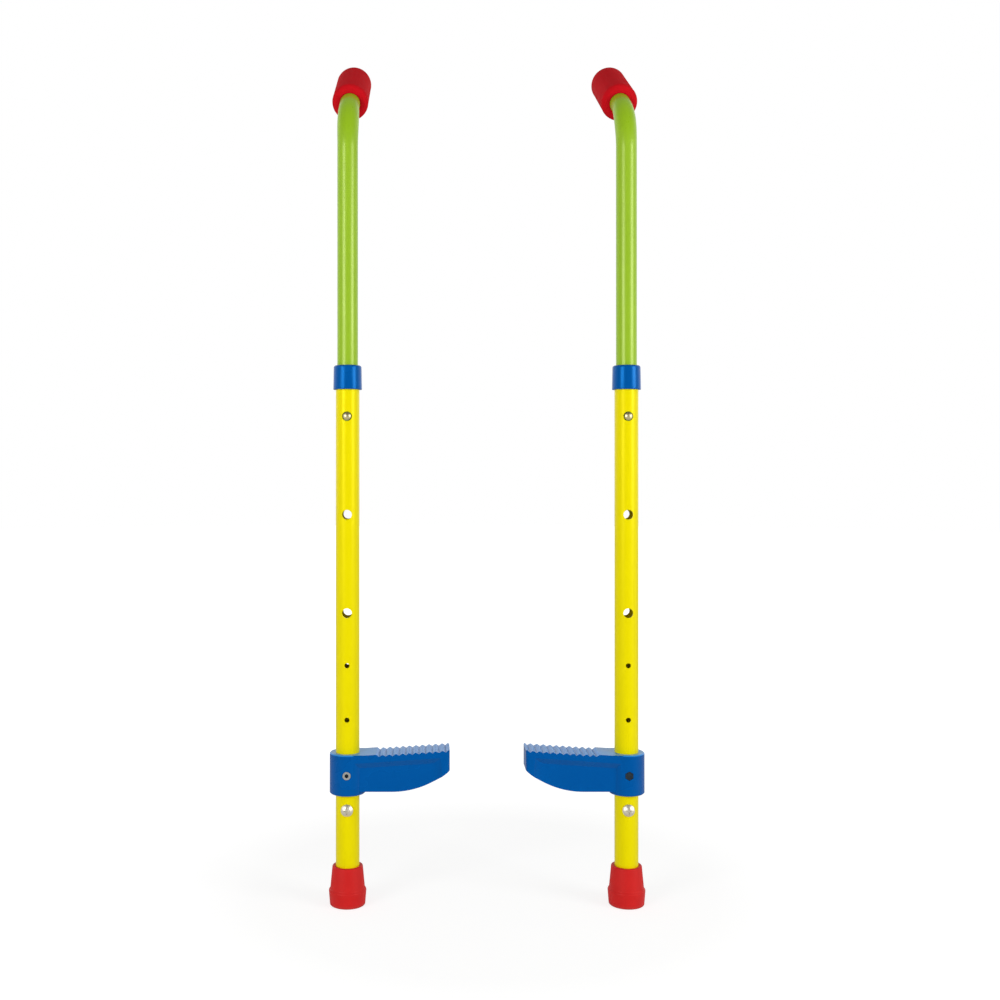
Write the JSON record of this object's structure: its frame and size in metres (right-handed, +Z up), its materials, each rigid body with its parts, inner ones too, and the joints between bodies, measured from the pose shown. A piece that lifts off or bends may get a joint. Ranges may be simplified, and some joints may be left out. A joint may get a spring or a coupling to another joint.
{
  "type": "pair of children's stilts",
  "caption": "Telescoping walking stilts with bent-back padded handles, snap-button height setting, bolted toothed steps that point at each other, and rubber feet.",
  "frame": {"origin": "on the floor, midway between the two stilts, and midway from the front of the feet to the back of the grips", "axes": "+Z up along the tubes, +X from the left stilt to the right one, +Y the way the handles point"},
  "size_m": [0.3404, 0.1576, 0.9386],
  "materials": {
    "yellow_coat": "gloss",
    "green_coat": "gloss",
    "blue_plastic": "satin",
    "red_foam": "matte",
    "red_rubber": "satin",
    "bright_steel": "polished",
    "zinc": "satin",
    "natural_plastic": "matte"
  },
  "bodies": {
    "left_lower": {"left_lower_tube": "yellow_coat", "left_tube_collar": "blue_plastic", "left_step": "blue_plastic", "left_step_bolt": "zinc", "left_step_nut": "zinc", "left_stop_bolt": "zinc", "left_stop_nut": "zinc", "left_ferrule": "red_rubber", "left_ferrule_washer": "zinc"},
    "left_upper": {"left_upper_tube": "green_coat", "left_guide_bush": "natural_plastic", "left_grip": "red_foam"},
    "left_clip": {"left_snap_clip": "bright_steel"},
    "right_lower": {"right_lower_tube": "yellow_coat", "right_tube_collar": "blue_plastic", "right_step": "blue_plastic", "right_step_bolt": "zinc", "right_step_nut": "zinc", "right_stop_bolt": "zinc", "right_stop_nut": "zinc", "right_ferrule": "red_rubber", "right_ferrule_washer": "zinc"},
    "right_upper": {"right_upper_tube": "green_coat", "right_guide_bush": "natural_plastic", "right_grip": "red_foam"},
    "right_clip": {"right_snap_clip": "bright_steel"}
  },
  "joints": [
    {"name": "left_height_slide", "type": "slide", "parent": "left_lower", "child": "left_upper", "axis": [0, 0, 1], "range_m": [-0.21, 0]},
    {"name": "left_button_press", "type": "slide", "parent": "left_upper", "child": "left_clip", "axis": [0, 1, 0], "range_m": [0, 0.004], "stiffness_N_per_m": 800, "deforming": ["left_snap_clip"]},
    {"name": "right_height_slide", "type": "slide", "parent": "right_lower", "child": "right_upper", "axis": [0, 0, 1], "range_m": [-0.21, 0]},
    {"name": "right_button_press", "type": "slide", "parent": "right_upper", "child": "right_clip", "axis": [0, 1, 0], "range_m": [0, 0.004], "stiffness_N_per_m": 800, "deforming": ["right_snap_clip"]},
    {"name": "right_stilt_spread", "type": "slide", "parent": "left_lower", "child": "right_lower", "axis": [1, 0, 0], "range_m": [-0.06, 0.3]}
  ]
}
